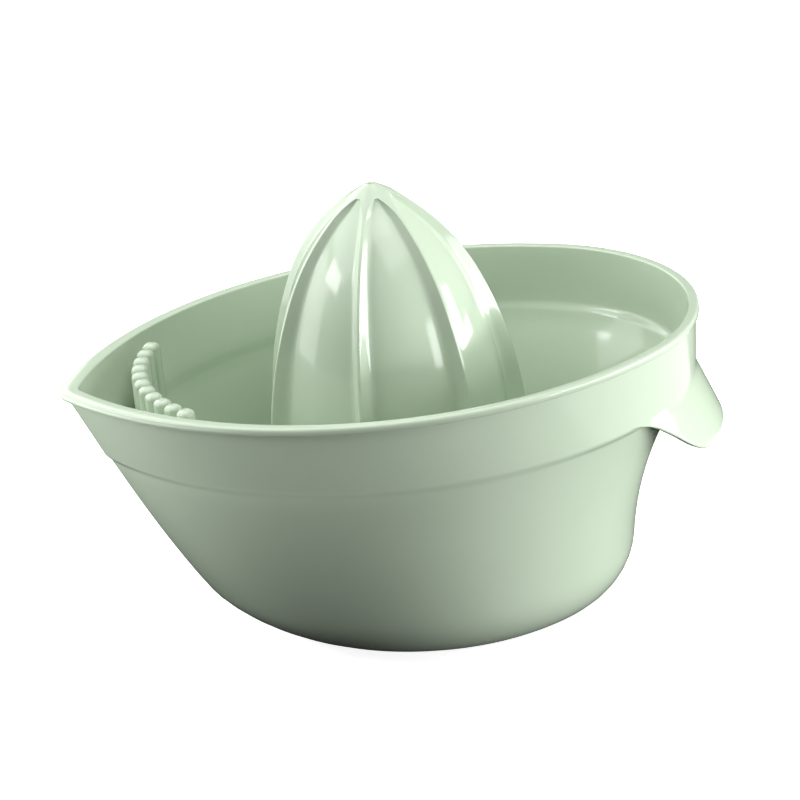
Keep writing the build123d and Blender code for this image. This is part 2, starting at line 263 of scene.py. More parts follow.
class Teardrop:        # a round handle end, two long sides and a rounded point, all tangent arcs

    def __init__(self, back, tip, halfWidth, endRadius, tipRadius):
        self.sizes = (back, tip, halfWidth, endRadius, tipRadius)
        self.endX = back - endRadius
        self.endRadius = endRadius
        self.tipRadius = tipRadius
        span = tip + self.endX
        lean = endRadius / span
        reach = (endRadius * (halfWidth * 2 - endRadius) / span + span) / 2
        rest = halfWidth - reach * lean
        excess = rest ** 2 - lean ** 2 * (reach ** 2 - halfWidth ** 2)
        self.sideDrop = (rest - sqrt(max(excess, 0))) / lean ** 2
        self.sideX = reach + lean * self.sideDrop - tip
        self.sideRadius = halfWidth + self.sideDrop

    def inset(self, distance, tipRadius=None):
        other = Teardrop(*self.sizes)
        other.endRadius -= distance
        other.sideRadius -= distance
        if tipRadius is not None:
            other.tipRadius = tipRadius
        return other

    def tipX(self):
        return self.sideX - sqrt((self.sideRadius - self.tipRadius) ** 2 - self.sideDrop ** 2)

    def ring(self, z):        # one point for each column, from the handle end round by the far side
        tipX = self.tipX()
        endAngle = atan2(self.sideDrop, self.endX - self.sideX)
        tipAngle = atan2(self.sideDrop, tipX - self.sideX)
        half = []
        for i in range(columns["end"]):
            half.append(arcPoint(self.endX, 0, self.endRadius, endAngle * i / columns["end"]))
        for i in range(columns["side"]):
            angle = endAngle + (tipAngle - endAngle) * i / columns["side"]
            half.append(arcPoint(self.sideX, -self.sideDrop, self.sideRadius, angle))
        for i in range(columns["tip"]):
            half.append(arcPoint(tipX, 0, self.tipRadius, tipAngle + (pi - tipAngle) * i / columns["tip"]))
        nearSide = [(x, -y) for x, y in reversed(half[1:])]
        return [Vector((x, y, z)) for x, y in half + [(tipX - self.tipRadius, 0)] + nearSide]


def circle(radius, z):
    return [Vector((*arcPoint(0, 0, radius, 2 * pi * i / columnCount), z)) for i in range(columnCount)]


def keel(z):        # reach of the spout's keel
    base, rim = bowl["base"], bowl["rim"]
    share = (z / bowl["height"]) ** bowl["keelCurve"]
    return base["tip"] + (rim["tip"] - bowl["beadOverhang"] - base["tip"]) * share


def rimInset(distance, tip, tipRadius, endStep=0):        # the rim's outline drawn in, with its own point
    rim = bowl["rim"]
    return Teardrop(
        rim["back"] - distance - endStep, tip, rim["halfWidth"] - distance,
        rim["endRadius"] - distance, tipRadius,
    )


rimPlan = Teardrop(**bowl["rim"])
basePlan = Teardrop(**bowl["base"])
bandTopPlan = rimInset(bowl["beadOverhang"], keel(bowl["height"] - bowl["beadHeight"]), rimPlan.tipRadius)
bandLowInset = bowl["beadOverhang"] + bowl["bandTaper"]
bandLowPlan = rimInset(bandLowInset, keel(bandZ), rimPlan.tipRadius)
shoulderPlan = rimInset(
    bandLowInset + bowl["bandStep"], keel(shoulderZ) - bowl["bandStep"],
    rimPlan.tipRadius + bowl["bandStep"], bowl["bandEndStep"] - bowl["bandStep"],
)


def lowerWall(z):        # outside of the wall under the band
    share = z / shoulderZ
    sizes = [low + (high - low) * share for low, high in zip(basePlan.sizes, shoulderPlan.sizes)]
    sizes[0] = basePlan.sizes[0] + (shoulderPlan.sizes[0] - basePlan.sizes[0]) * share ** bowl["endCurve"]
    sizes[1] = keel(z) - bowl["bandStep"] * share
    return Teardrop(*sizes)


def roundedFoot(radius, lowZ, offset):        # rings of a large rounding, from flat to upright
    rings = []
    for share in [0] + steps(bowl["roundRows"]):
        z = lowZ + radius * (1 - cos(pi / 2 * share))
        rings.append(lowerWall(z).inset(offset + radius * (1 - sin(pi / 2 * share))).ring(z))
    return rings


def innerRings(gap):        # inside of the bowl from its floor up to the rim, drawn in by a gap
    inset = bowl["wall"] + gap
    lowZ = floorZ + gap
    rings = roundedFoot(bowl["innerRound"], lowZ, inset)
    startZ = lowZ + bowl["innerRound"]
    for share in steps(bowl["wallRows"]):
        z = startZ + (bandZ - startZ) * share
        plan = lowerWall(z)
        tipRadius = plan.tipRadius + (bowl["innerTipRadius"] - shoulderPlan.tipRadius) * share
        rings.append(plan.inset(inset, tipRadius).ring(z))
    ledgeZ = bandZ + bowl["ledge"]
    ledgePlan = lowerWall(ledgeZ).inset(inset, bowl["innerTipRadius"])
    low = rimInset(bandLowInset + inset, ledgePlan.tipRadius - ledgePlan.tipX(), bowl["innerTipRadius"])
    lowRing = low.ring(ledgeZ)
    wallRing = rings[-1]
    for share in steps(bowl["ledgeRows"]):
        rings.append(mixRings(wallRing, lowRing, ease(share), share))
    return rings


def innerTop(gap):
    distance = bowl["beadOverhang"] + bowl["wall"] + gap
    return rimInset(distance, rimPlan.sizes[1] - bowl["spoutPad"] - gap, bowl["innerTipRadius"])


def flapRings():        # from the shoulder out over the band's edge, with the flap's tongue hung from it
    topRing = bandTopPlan.ring(bowl["height"] - bowl["beadHeight"])
    lowRing = bandLowPlan.ring(bandZ)
    shoulderRing = shoulderPlan.ring(shoulderZ)
    rootShare = flap["lap"] / (topRing[0].z - bandZ)
    rootRing = mixRings(lowRing, topRing, rootShare)
    slope = flap["flare"] / (flap["drop"] + flap["lap"])
    sideSlope = flap["drop"] / (flap["rootHalfWidth"] - flap["endHalfWidth"])
    fade = flap["rootReach"]

    drops, shares, thicks = [], [], []
    for point in lowRing:
        inFlap = point.x > bandLowPlan.endX
        side = sideSlope * (flap["rootHalfWidth"] - abs(point.y)) if inFlap else -flap["drop"]
        drop = softMax(0, softMin(flap["drop"], side, flap["cornerReach"]), fade)
        drops.append(drop)
        shares.append(ease((flap["rootHalfWidth"] + fade - abs(point.y)) / (2 * fade)) if inFlap else 0)
        thicks.append(flap["thickness"] * ease(drop / fade))

    def ringAt(lengths, inwards):        # lengths run down the front from the root line
        ring = []
        for i, length in enumerate(lengths):
            base = rootRing[i].lerp(lowRing[i], min(length / flap["lap"], 1))
            bend = flap["bend"]
            lean = length ** 2 / (2 * bend) if length < bend else length - bend / 2
            normal = Vector((lowRing[i].x - bandLowPlan.endX, lowRing[i].y)).normalized()
            x = base.x + slope * lean * shares[i] - normal.x * inwards[i]
            ring.append(Vector((x, base.y - normal.y * inwards[i], rootRing[i].z - length)))
        return ring

    ends = [flap["lap"] + drop for drop in drops]
    rounds = [min(flap["edgeRound"], thick / 2) for thick in thicks]
    tops = [flap["lap"] + thick * flap["backTop"] for thick in thicks]
    rings = []
    backTop = ringAt([min(top, end - r) for top, end, r in zip(tops, ends, rounds)], thicks)
    for share in steps(bowl["chamferRows"])[:-1]:
        rings.append(mixRings(shoulderRing, backTop, ease(share), share))
    rings.append(backTop)
    for share in steps(flap["rows"]):        # down the back
        lengths = [min(top, end - r) + (end - r - min(top, end - r)) * share
                   for top, end, r in zip(tops, ends, rounds)]
        rings.append(ringAt(lengths, thicks))
    for share in steps(flap["edgeRows"]):        # round the lower edge
        turn = pi / 2 * share
        lengths = [end - r + r * sin(turn) for end, r in zip(ends, rounds)]
        rings.append(ringAt(lengths, [thick - r + r * cos(turn) for thick, r in zip(thicks, rounds)]))
    for share in [0] + steps(flap["edgeRows"]):
        turn = pi / 2 * (1 - share)
        lengths = [end - r + r * sin(turn) for end, r in zip(ends, rounds)]
        rings.append(ringAt(lengths, [r - r * cos(turn) for r in rounds]))
    for share in steps(flap["rows"]):        # up the front
        rings.append(ringAt([(end - r) * (1 - share) for end, r in zip(ends, rounds)], [0] * columnCount))
    for share in steps(bowl["bandRows"]):
        rings.append(mixRings(rootRing, topRing, share))
    return rings


def beadRings():        # the overhanging bead, its rounded top and the inner lip
    top, overhang, corner, lip = bowl["height"], bowl["beadOverhang"], bowl["beadRound"], bowl["lipRound"]
    underZ = top - bowl["beadHeight"] + overhang / 2
    rings = [
        rimPlan.inset(overhang / 4).ring(underZ - overhang / 8),
        rimPlan.ring(underZ + overhang / 4),
        rimPlan.ring(top - corner),
    ]
    for share in steps(bowl["beadRows"]):
        turn = pi / 2 * share
        rings.append(rimPlan.inset(corner * (1 - cos(turn))).ring(top - corner * (1 - sin(turn))))
    for share in [0] + steps(bowl["beadRows"]):
        turn = pi / 2 * share
        rings.append(innerTop(0).inset(lip * (sin(turn) - 1)).ring(top - lip * (1 - cos(turn))))
    return rings


def makeBowl():
    lift, edge = bowl["lift"], footGroove["edge"]
    grooveZ = lift + footGroove["depth"]
    rings = [
        circle(footGroove["inner"] / 3, lift),        # one ring in the flat middle
        circle(footGroove["inner"] - edge, lift),
        circle(footGroove["inner"], lift + edge),
        circle(footGroove["inner"], grooveZ),
        circle(footGroove["outer"], grooveZ),
        circle(footGroove["outer"], lift + edge),
        circle(footGroove["outer"] + edge, lift),
    ]
    rings += roundedFoot(bowl["baseRound"], lift, 0)
    startZ = lift + bowl["baseRound"]
    for share in steps(bowl["wallRows"]):
        z = startZ + (shoulderZ - startZ) * share
        rings.append(lowerWall(z).ring(z))
    rings += flapRings()
    rings += beadRings()
    inner = innerRings(0)
    lipRing = rings[-1]
    for share in steps(bowl["bandRows"])[:-1]:
        rings.append(mixRings(lipRing, inner[-1], share))
    padRing = circle(floorRing["padRadius"], seatZ)
    rings += aroundPad(list(reversed(inner)) + [circle(floorRing["padRadius"], floorZ)], padRing)
    outer, edge = floorRing["radius"], floorRing["edge"]
    topZ = seatZ + floorRing["height"]
    hole = outer - floorRing["wall"]
    keyRow = len(rings) + 2        # the third of the next rings is the foot of the floor ring
    rings += [
        padRing,
        circle(outer + floorRing["keyReach"] * 2, seatZ),        # room on the pad for the keys
        circle(outer, seatZ),
        circle(outer, seatZ + floorRing["keyHeight"]),
        circle(outer, topZ - edge),
        circle(outer - edge, topZ),
        circle(hole + edge, topZ),
        circle(hole, topZ - edge),
        circle(hole, seatZ),
        circle(hole / 3, seatZ),
    ]
    bm, loops = growShell(rings)
    addKeys(bm, loops[keyRow], loops[keyRow + 1])
    piece = makePiece(bm, "bowl_moulding", bowl["sharp"])
    carve(piece, makeSocket(), "UNION", bowl["sharp"])
    setDown(piece, "bowl", "bowl")
    return piece


def aroundPad(rings, padRing):        # the floor's rings end on the pad's edge where the pad covers them
    covered = set()
    result = []
    rise, gap = floorRing["padMargin"]
    for ring in rings:
        for i, point in enumerate(ring):
            if point.z < seatZ + rise and hypot(point.x, point.y) < floorRing["padRadius"] - gap:
                covered.add(i)
        result.append([padRing[i].copy() if i in covered else point for i, point in enumerate(ring)])
    return result


def addKeys(bm, lowLoop, highLoop):        # a few faces of the floor ring pulled out under each rib
    half, reach = floorRing["keyHalf"], floorRing["keyReach"]
    for index in range(ribCount):
        angle = ribFirst + ribTurn * index
        middle = int(angle / (2 * pi) * columnCount) % columnCount
        spots = [(middle + shift) % columnCount for shift in range(-half, half + 1)]
        faces = []
        for spot in spots:
            corners = {lowLoop[spot], highLoop[spot], lowLoop[(spot + 1) % columnCount]}
            faces += [f for f in lowLoop[spot].link_faces if corners <= set(f.verts)]
        pullFaces(bm, faces, (reach * cos(angle), reach * sin(angle), 0))


# Strainer comb and its socket in the keel

comb = {
    "x": 68.93,
    "radius": 50.0,
    "reeds": 11,
    "pitch": 5.4,
    "reedWidth": 4.3,
    "reedDepth": 4.8,
    "reedCorner": 1.7,
    "reedTop": 1.5,
    "top": 82.0,
    "gap": 0.8,
    "webThickness": 2.8,
    "webHeight": 7.0,
    "tongueWidth": 9.0,
    "tongueHeight": 7.0,
    "socketZ": 45.66,
    "socketDepth": 5.0,
    "socketWall": 2.0,
    "socketFoot": 20.0,
    "clearance": 0.15,
    "tongueLap": 1,        # how far the tongue runs up into the web
    "roomMargin": 1,        # how far the keel's cutting shape runs past the block
    "edge": 0.3,
    "edgeSegments": 2,
    "reedSegments": 4,
    "webColumns": 40,
    "sharp": 40,
}


def addBlock(bm, size, centre):
    verts = bmesh.ops.create_cube(bm, size=1)["verts"]
    bmesh.ops.scale(bm, vec=size, verts=verts)
    bmesh.ops.translate(bm, vec=centre, verts=verts)
    return verts


def roundEdges(bm, edges, offset, segments):
    bmesh.ops.bevel(bm, geom=edges, offset=offset, offset_type="OFFSET", affect="EDGES",
                    segments=segments, profile=0.5, material=-1, clamp_overlap=True)


def makeSocket():        # block in the corner of the keel with a pocket for the comb's tongue
    side = comb["clearance"] + comb["socketWall"]
    wide, deep = comb["webThickness"] + side * 2, comb["tongueWidth"] + side * 2
    lowZ = comb["socketZ"] - comb["socketFoot"]
    highZ = comb["socketZ"] + comb["socketDepth"]
    bm = bmesh.new()
    verts = addBlock(bm, (wide, deep, highZ - lowZ), (-comb["x"], 0, (lowZ + highZ) / 2))
    top = max(bm.faces, key=lambda f: f.calc_center_median().z)
    bmesh.ops.inset_individual(bm, faces=[top], thickness=comb["socketWall"])
    sunk = bmesh.ops.extrude_discrete_faces(bm, faces=[top])["faces"]
    bmesh.ops.translate(bm, vec=(0, 0, -comb["socketDepth"]), verts=sunk[0].verts)
    rim = [e for e in edgesOf(verts) if all(abs(w.co.z - highZ) < weld for w in e.verts)]
    roundEdges(bm, rim, comb["edge"], comb["edgeSegments"])
    block = makePiece(bm, "socket_block", comb["sharp"])
    inWall = bowl["wall"] / 2        # the block ends inside the keel's wall
    margin = comb["roomMargin"]
    rings = []
    for share in [0] + steps(bowl["wallRows"]):
        z = lowZ - margin + (bandZ + margin * 2 - lowZ) * share
        rings.append(lowerWall(z).inset(inWall).ring(z))
    room = growShell(rings)[0]
    carve(block, makePiece(room, "keel_room", comb["sharp"]), "INTERSECT", comb["sharp"])
    return block


def makeStrainer():
    bm = bmesh.new()
    centreX = comb["radius"] - comb["x"]
    webZ = comb["socketZ"] + comb["tongueHeight"]
    height = comb["top"] - webZ
    pitchTurn = comb["pitch"] / comb["radius"]
    lastTurn = pitchTurn * (comb["reeds"] - 1) / 2
    for index in range(comb["reeds"]):
        old = set(bm.verts)
        size = (comb["reedDepth"], comb["reedWidth"], height)
        verts = addBlock(bm, size, (-comb["radius"], 0, webZ + height / 2))
        uprights = [e for e in edgesOf(verts) if abs(e.verts[0].co.z - e.verts[1].co.z) > weld]
        roundEdges(bm, uprights, comb["reedCorner"], comb["reedSegments"])
        fresh = [v for v in bm.verts if v not in old]
        top = [e for e in edgesOf(fresh) if all(w.co.z > comb["top"] - weld for w in e.verts)]
        roundEdges(bm, top, comb["reedTop"], comb["reedSegments"])
        turnAround(bm, [v for v in bm.verts if v not in old], pitchTurn * index - lastTurn)
    half, webTop = comb["webThickness"] / 2, webZ + comb["webHeight"]
    front, back = -comb["radius"] - half, -comb["radius"] + half
    corners = [(front, webZ), (back, webZ), (back, webTop), (front, webTop)]
    section = [bm.verts.new((x, 0, z)) for x, z in corners]
    face = bm.faces.new(section)
    turnAround(bm, section, -lastTurn)
    bmesh.ops.spin(bm, geom=[face], cent=(0, 0, 0), axis=(0, 0, 1), dvec=(0, 0, 0), angle=2 * lastTurn,
                   steps=comb["webColumns"], use_merge=False, use_duplicate=False)
    bmesh.ops.translate(bm, vec=(centreX, 0, 0), verts=bm.verts)
    length = comb["tongueHeight"] + comb["tongueLap"]
    size = (comb["webThickness"], comb["tongueWidth"], length)
    tongue = addBlock(bm, size, (-comb["x"], 0, comb["socketZ"] + length / 2))
    low = [e for e in edgesOf(tongue) if all(w.co.z < comb["socketZ"] + weld for w in e.verts)]
    roundEdges(bm, low, comb["edge"], comb["edgeSegments"])
    piece = makePiece(bm, "strainer_comb", comb["sharp"])
    rings = innerRings(comb["gap"])
    rings.append(innerTop(comb["gap"]).ring(bowl["height"]))
    room = growShell(rings)[0]
    carve(piece, makePiece(room, "comb_room", comb["sharp"]), "INTERSECT", comb["sharp"])
    setDown(piece, "strainer", "strainer")
    return piece


# Reamer cone

reamer = {
    "radius": 37.6,
    "height": 119.9,
    "skirt": 44.6,
    "tipRadius": 1.3,
    "bendRadius": 0.728,        # shares of the radius and of the height where the crest bends more
    "bendHeight": 0.631,
    "wall": 2.4,
    "ribHeight": 5.0,
    "crest": 0.7,
    "lean": radians(27),
    "groove": 1.6,
    "fluteEnd": 2.6,
    "fluteEndDepth": 2.4,
    "scoop": 5.0,
    "scoopLift": 0.5,
    "scoopWidth": 0.45,
    "scoopStop": 1.25,        # the scoops end at this many times their lift
    "crestRound": 0.22,
    "crestSegments": 2,
    "capGap": 0.12,
    "tipEdge": 0.25,
    "tipRings": ((0.75, 0), (0.4, 0), (0.25, 1)),        # shares of the tip's radius and of its edge
    "sideSteps": 12,
    "cornerSteps": 8,
    "floorSteps": 12,
    "fluteColumns": 16,
    "landColumns": 3,
    "skirtShares": (0, 0.3, 0.65),
    "arcRows": 40,
    "scoopRows": 14,
    "capRows": 5,
    "notchWidth": 4,        # in columns of the hollow
    "notchHeight": 6.65,
    "notchReach": 1.9,
    "hollowColumns": 168,
    "hollowRows": 12,
    "sharp": 40,
}
tipZ = seatZ + reamer["height"]
arcZ = seatZ + reamer["skirt"]
fluteTopZ = tipZ - reamer["fluteEnd"]
scoopZ = fluteTopZ - reamer["scoop"]
bendRadius = reamer["radius"] * reamer["bendRadius"]
bendZ = arcZ + (tipZ - arcZ) * reamer["bendHeight"]
sideStep = reamer["radius"] - bendRadius
sideArc = (sideStep ** 2 + (bendZ - arcZ) ** 2) / (2 * sideStep)
bendTurn = asin((bendZ - arcZ) / sideArc)
tipStep, tipRise = bendRadius - reamer["tipRadius"], tipZ - bendZ
topArc = (tipStep ** 2 + tipRise ** 2) / (2 * (tipStep * cos(bendTurn) - tipRise * sin(bendTurn)))
topArcX = bendRadius - topArc * cos(bendTurn)
topArcZ = bendZ - topArc * sin(bendTurn)


def crestAt(z):        # upright skirt, a wide arc, then a tighter one up to the tip
    if z <= arcZ:
        return reamer["radius"]
    if z <= bendZ:
        return reamer["radius"] - sideArc + sqrt(sideArc ** 2 - (z - arcZ) ** 2)
    return topArcX + sqrt(topArc ** 2 - (z - topArcZ) ** 2)


def fluteLine(z, swell):        # half of a flute's section, from outside the crest to the flute's middle
    rise = max(z - arcZ, 0) / (fluteTopZ - arcZ)
    depth = reamer["ribHeight"] + (reamer["fluteEndDepth"] - reamer["ribHeight"]) * rise
    crest = crestAt(z) + (1 - swell) * (depth + reamer["scoopLift"])
    floor = crest - depth
    corner = reamer["groove"] * crest / reamer["radius"]
    lean, halfTurn = reamer["lean"], ribTurn / 2
    across, along = Vector((sin(lean), cos(lean))), Vector((cos(lean), -sin(lean)))
    offset = reamer["crest"] / 2 * cos(lean) + crest * sin(lean)
    reach = sqrt((floor + corner) ** 2 - (offset + corner) ** 2)
    centre = across * (offset + corner) + along * reach
    outer = Vector((crest, reamer["crest"] / 2)) + along
    foot = across * offset + along * reach
    count = reamer["sideSteps"]
    line = [outer.lerp(foot, i / count) for i in range(count)]
    start = atan2(-across.y, -across.x)
    end = atan2(-centre.y, -centre.x)
    sweep = (end - start + pi) % (2 * pi) - pi
    count = reamer["cornerSteps"]
    line += [Vector(arcPoint(*centre, corner, start + sweep * i / count)) for i in range(count)]
    low = atan2(centre.y, centre.x)
    count = reamer["floorSteps"]
    line += [Vector(arcPoint(0, 0, floor, low + (halfTurn - low) * i / count)) for i in range(count + 1)]
    narrow = reamer["scoopWidth"] + (1 - reamer["scoopWidth"]) * swell
    turned = []
    for p in line:
        y = p.x * sin(halfTurn) - p.y * cos(halfTurn)
        turned.append(Vector((p.x * cos(halfTurn) + p.y * sin(halfTurn), y * narrow)))
    return turned


def evenly(line, count):        # the same line with its points evenly spaced
    lengths = [0]
    for a, b in zip(line, line[1:]):
        lengths.append(lengths[-1] + (b - a).length)
    points, i = [], 0
    for step in range(count + 1):
        goal = lengths[-1] * step / count
        while i < len(line) - 2 and lengths[i + 1] < goal:
            i += 1
        span = lengths[i + 1] - lengths[i]
        points.append(line[i].lerp(line[i + 1], (goal - lengths[i]) / span if span else 0))
    return points


def pitchSection(z, swell):        # one rib pitch of the outside, from a rib's middle to the next one's
    crest = crestAt(z)
    line = fluteLine(z, swell)
    first = next(i for i, p in enumerate(line) if p.length <= crest)
    a, b = line[max(first - 1, 0)], line[first]
    share = (a.length - crest) / (a.length - b.length) if first else 0
    cut = [a.lerp(b, share)] + line[first:]
    flute = evenly(cut, reamer["fluteColumns"])
    count, halfTurn = reamer["landColumns"], ribTurn / 2
    edge = atan2(flute[0].y, flute[0].x) - halfTurn
    land = [Vector(arcPoint(0, 0, crest, halfTurn + edge * i / count)) for i in range(count)]
    half = land + flute
    whole = [Vector((p.x, -p.y)) for p in half] + list(reversed(half[:-1]))
    return [Vector((p.x, p.y, z)) for p in whole]


def envelope(section, radius, z):        # the same columns, but on a plain circle
    return [Vector((*arcPoint(0, 0, radius, atan2(p.y, p.x)), z)) for p in section]


def makeReamer():
    rings = [pitchSection(seatZ + reamer["skirt"] * share, 1) for share in reamer["skirtShares"]]
    for share in [0] + steps(reamer["arcRows"]):
        rings.append(pitchSection(arcZ + (scoopZ - arcZ) * share, 1))
    lift = reamer["scoopLift"]
    lastTurn = acos(lift * reamer["scoopStop"] / (reamer["fluteEndDepth"] + lift))
    for share in steps(reamer["scoopRows"]):
        turn = lastTurn * sin(pi / 2 * share)
        rings.append(pitchSection(scoopZ + reamer["scoop"] * sin(turn), cos(turn)))
    crestRows = len(rings) - 2        # the crests are rounded up to one row below the scoops' end
    last = rings[-1]
    startZ = last[0].z + reamer["capGap"]
    edge = reamer["tipRadius"] * reamer["tipEdge"]
    for share in [0] + steps(reamer["capRows"]):
        z = startZ + (tipZ - edge - startZ) * share
        rings.append(envelope(last, crestAt(z), z))
    rings.append(envelope(last, crestAt(tipZ), tipZ - edge / 4))
    for share, sunk in reamer["tipRings"]:        # a flat tip with a small dimple
        rings.append(envelope(last, reamer["tipRadius"] * share, tipZ - edge * sunk))
    bm = bmesh.new()
    chain = [bm.verts.new(point) for point in rings[0]]
    for a, b in zip(chain, chain[1:]):
        bm.edges.new((a, b))
    loops = growRows(bm, chain, rings, False)
    sides = (reamer["landColumns"], len(chain) - 1 - reamer["landColumns"])
    crests = [bm.edges.get((loops[i][side], loops[i + 1][side])) for i in range(crestRows) for side in sides]
    roundEdges(bm, crests, reamer["crestRound"], reamer["crestSegments"])
    turnAround(bm, bm.verts, ribFirst + ribTurn / 2)
    everything = list(bm.verts) + list(bm.edges) + list(bm.faces)
    bmesh.ops.spin(bm, geom=everything, cent=(0, 0, 0), axis=(0, 0, 1), dvec=(0, 0, 0),
                   angle=ribTurn * (ribCount - 1), steps=ribCount - 1, use_merge=False, use_duplicate=True)
    bmesh.ops.remove_doubles(bm, verts=bm.verts, dist=weld)
    topEdges = [e for e in bm.edges if e.is_boundary and min(v.co.z for v in e.verts) > fluteTopZ]
    bmesh.ops.edgenet_fill(bm, edges=topEdges)
    addHollow(bm)
    piece = makePiece(bm, "reamer_cone", reamer["sharp"])
    setDown(piece, "reamer", "reamer")
    return piece


def addHollow(bm):        # round hollow under the cone, notched for the keys, and the foot's flat edge
    inset = reamer["ribHeight"] + reamer["wall"]
    radius = reamer["radius"] - inset
    topZ = topArcZ + sqrt(topArc ** 2 - (inset - topArcX) ** 2)
    notchZ = seatZ + reamer["notchHeight"]
    profile = [(radius, seatZ), (radius, notchZ), (radius, (notchZ + arcZ) / 2), (radius, arcZ)]
    for share in steps(reamer["hollowRows"])[:-1]:
        z = arcZ + (topZ - arcZ) * sin(pi / 2 * share)
        profile.append((crestAt(z) - inset, z))
    profile.append((0, topZ))
    old = set(bm.faces)
    lathe(bm, profile, reamer["hollowColumns"], False)
    bmesh.ops.remove_doubles(bm, verts=bm.verts, dist=weld)
    low = [f for f in bm.faces if f not in old and f.calc_center_median().z < notchZ
           and hypot(*f.calc_center_median().xy) < radius + weld]
    inNotch = cos(reamer["notchWidth"] * pi / reamer["hollowColumns"])
    for index in range(ribCount):
        angle = ribFirst + ribTurn * index
        axis = Vector((cos(angle), sin(angle)))
        valid = [f for f in low if f.is_valid]
        faces = [f for f in valid if f.calc_center_median().xy.normalized().dot(axis) > inNotch]
        pullFaces(bm, faces, (axis * reamer["notchReach"]).to_3d())
    flat = [f for f in bm.faces if all(abs(v.co.z - seatZ) < weld for v in f.verts)]
    bmesh.ops.delete(bm, geom=flat, context="FACES_ONLY")
    foot = [e for e in bm.edges if all(abs(v.co.z - seatZ) < weld for v in e.verts) and len(e.link_faces) < 2]
    loose = [e for e in foot if not e.link_faces]
    bmesh.ops.delete(bm, geom=loose, context="EDGES")
    foot = [e for e in foot if e.is_valid]
    bmesh.ops.triangle_fill(bm, use_beauty=True, use_dissolve=False, edges=foot)


# Soft ring under the base

footRing = {
    "inner": 24.0,
    "outer": 29.0,
    "height": 2.4,
    "edge": 0.35,
    "grooves": 3,
    "grooveDepth": 0.3,
    "grooveStart": 0.35,        # shares of a groove's pitch
    "grooveShares": (0, 0.1, 0.2, 0.3),
    "columns": 180,
    "sharp": 30,
}


def makeFootRing():
    inner, outer, edge = footRing["inner"], footRing["outer"], footRing["edge"]
    profile = [(inner, footRing["height"]), (inner, edge), (inner + edge, 0)]
    pitch = (outer - inner - edge * 2) / footRing["grooves"]
    heights = (0, footRing["grooveDepth"], footRing["grooveDepth"], 0)
    for i in range(footRing["grooves"]):
        start = inner + edge + pitch * (i + footRing["grooveStart"])
        profile += [(start + pitch * share, z) for share, z in zip(footRing["grooveShares"], heights)]
    profile += [(outer - edge, 0), (outer, edge), (outer, footRing["height"])]
    bm = bmesh.new()
    lathe(bm, profile, footRing["columns"], True)
    piece = makePiece(bm, "grip_ring", footRing["sharp"])
    setDown(piece, "foot_ring", "bowl")
    return piece


# Finishes

class Wire:        # a shader socket that can be used in sums; each sum adds a Math node

    def __init__(self, tree, socket=None):
        self.tree = tree
        self.socket = socket

    def node(self, kind, settings, values, output=0):
        made = self.tree.nodes.new(kind)
        for name, value in settings.items():
            setattr(made, name, value)
        for name, value in values.items():
            if isinstance(value, Wire):
                self.tree.links.new(value.socket, made.inputs[name])
            else:
                made.inputs[name].default_value = value
        return Wire(self.tree, made.outputs[output])

    def noise(self, scale, detail):        # at the place that this wire gives
        return self.node("ShaderNodeTexNoise", {}, {"Vector": self, "Scale": scale, "Detail": detail})

    def blend(self, deep, pale):        # by this share; 6, 7 and 2 are the colour sockets
        return self.node("ShaderNodeMix", {"data_type": "RGBA"}, {0: self, 6: deep, 7: pale}, 2)

    def maths(self, operation, first, second):
        return self.node("ShaderNodeMath", {"operation": operation}, {0: first, 1: second})

    def __add__(self, other):
        return self.maths("ADD", self, other)

    def __radd__(self, other):
        return self.maths("ADD", other, self)

    def __sub__(self, other):
        return self.maths("SUBTRACT", self, other)

    def __rsub__(self, other):
        return self.maths("SUBTRACT", other, self)

    def __mul__(self, other):
        return self.maths("MULTIPLY", self, other)

    def __rmul__(self, other):
        return self.maths("MULTIPLY", other, self)


def newFinish(name):
    finish = bpy.data.materials.new(name)
    finish.use_nodes = True
    shader = finish.node_tree.nodes["Principled BSDF"]
    return finish, shader, Wire(finish.node_tree)


def feed(shader, name, wire):
    wire.tree.links.new(wire.socket, shader.inputs[name])


sage = {
    "deep": (0.525, 0.630, 0.490, 1),
    "pale": (0.570, 0.682, 0.533, 1),
    "cloudScale": 38.0,
    "cloudDetail": 3.0,
    "cloudShare": 0.8,        # the rest of the tone is grain
    "grainScale": 1400.0,
    "grainDetail": 2.0,
    "scuffScale": 160.0,
    "scuffDetail": 5.0,
    "scuffStretch": (1.0, 1.0, 7.0),
    "scuffMiddle": 0.5,
    "roughness": 0.11,
    "roughnessSpread": 0.06,
    "peel": 0.02,
    "peelDepth": 0.0002,
    "peelShare": 0.6,        # the rest of the bump is grain
    "ior": 1.5,
}


def makeSage():        # glossy moulded plastic: faint clouding, fine grain and light handling marks
    finish, shader, wire = newFinish("sage_gloss")
    place = wire.node("ShaderNodeTexCoord", {}, {}, "Object")
    cloud = place.noise(sage["cloudScale"], sage["cloudDetail"])
    grain = place.noise(sage["grainScale"], sage["grainDetail"])
    stretched = wire.node("ShaderNodeMapping", {}, {"Vector": place, "Scale": sage["scuffStretch"]})
    scuff = stretched.noise(sage["scuffScale"], sage["scuffDetail"])
    tone = cloud * sage["cloudShare"] + grain * (1 - sage["cloudShare"])
    feed(shader, "Base Color", tone.blend(sage["deep"], sage["pale"]))
    feed(shader, "Roughness", (scuff - sage["scuffMiddle"]) * sage["roughnessSpread"] + sage["roughness"])
    height = cloud * sage["peelShare"] + grain * (1 - sage["peelShare"])
    sizes = {"Strength": sage["peel"], "Distance": sage["peelDepth"], "Height": height}
    feed(shader, "Normal", wire.node("ShaderNodeBump", {}, sizes))
    shader.inputs["IOR"].default_value = sage["ior"]
    return finish


